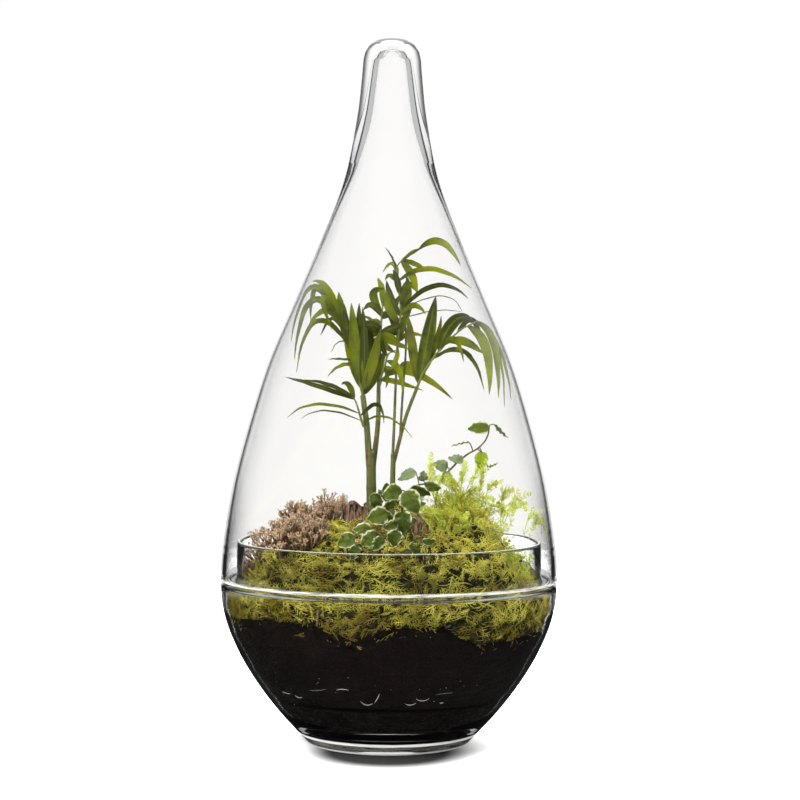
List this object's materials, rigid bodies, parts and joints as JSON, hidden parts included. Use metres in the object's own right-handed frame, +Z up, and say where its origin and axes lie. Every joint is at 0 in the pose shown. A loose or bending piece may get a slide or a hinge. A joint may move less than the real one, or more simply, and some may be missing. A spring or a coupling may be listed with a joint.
{
  "type": "plant terrarium",
  "caption": "Drop-shaped two-piece glass terrarium: a footed bowl with soil, moss, lichen, palms, creeping fig and spikemoss under a tall pointed glass dome.",
  "frame": {"origin": "middle of the bowl's flat foot, on the surface that it stands on", "axes": "+Z up, from the foot to the dome's tip; -Y to the front, as the picture shows it; +X to the right"},
  "size_m": [0.2394, 0.2394, 0.5],
  "materials": {
    "glass": "clear, polished",
    "gravel": "damp, matte",
    "soil": "damp, matte",
    "moss": "fine, matte",
    "lichen": "dry, matte",
    "lichen_grey": "dry, matte",
    "bark": "rough, matte",
    "cane": "smooth, satin",
    "palm_leaf": "satin",
    "fig_leaf": "satin",
    "spikemoss": "matte"
  },
  "bodies": {
    "root": {"glass_bowl": "glass", "glass_dome": "glass", "drainage_layer": "gravel", "potting_soil": "soil", "moss_front": "moss", "moss_right": "moss", "moss_back": "moss", "moss_left": "moss", "moss_middle": "moss", "lichen_tuft_1": "lichen", "lichen_tuft_2": "lichen", "lichen_tuft_3": "lichen", "lichen_tuft_4": "lichen", "lichen_tuft_grey": "lichen_grey", "bark_chip_left": "bark", "bark_chip_right": "bark", "twig_left": "bark", "twig_right": "bark", "palm_cane_left": "cane", "palm_cane_right": "cane", "palm_frond_left_high": "palm_leaf", "palm_frond_left_low": "palm_leaf", "palm_frond_centre": "palm_leaf", "palm_frond_small": "palm_leaf", "palm_frond_top": "palm_leaf", "palm_frond_back": "palm_leaf", "palm_frond_right": "palm_leaf", "fig_stem_left": "fig_leaf", "fig_stem_middle": "fig_leaf", "fig_stem_front": "fig_leaf", "fig_stem_right": "fig_leaf", "fig_stem_low": "fig_leaf", "fig_runner": "fig_leaf", "fig_stem_back": "fig_leaf", "spikemoss_spray_1": "spikemoss", "spikemoss_spray_2": "spikemoss", "spikemoss_spray_3": "spikemoss", "spikemoss_spray_4": "spikemoss", "spikemoss_spray_5": "spikemoss", "spikemoss_spray_6": "spikemoss", "spikemoss_spray_7": "spikemoss", "spikemoss_spray_8": "spikemoss"}
  },
  "joints": []
}
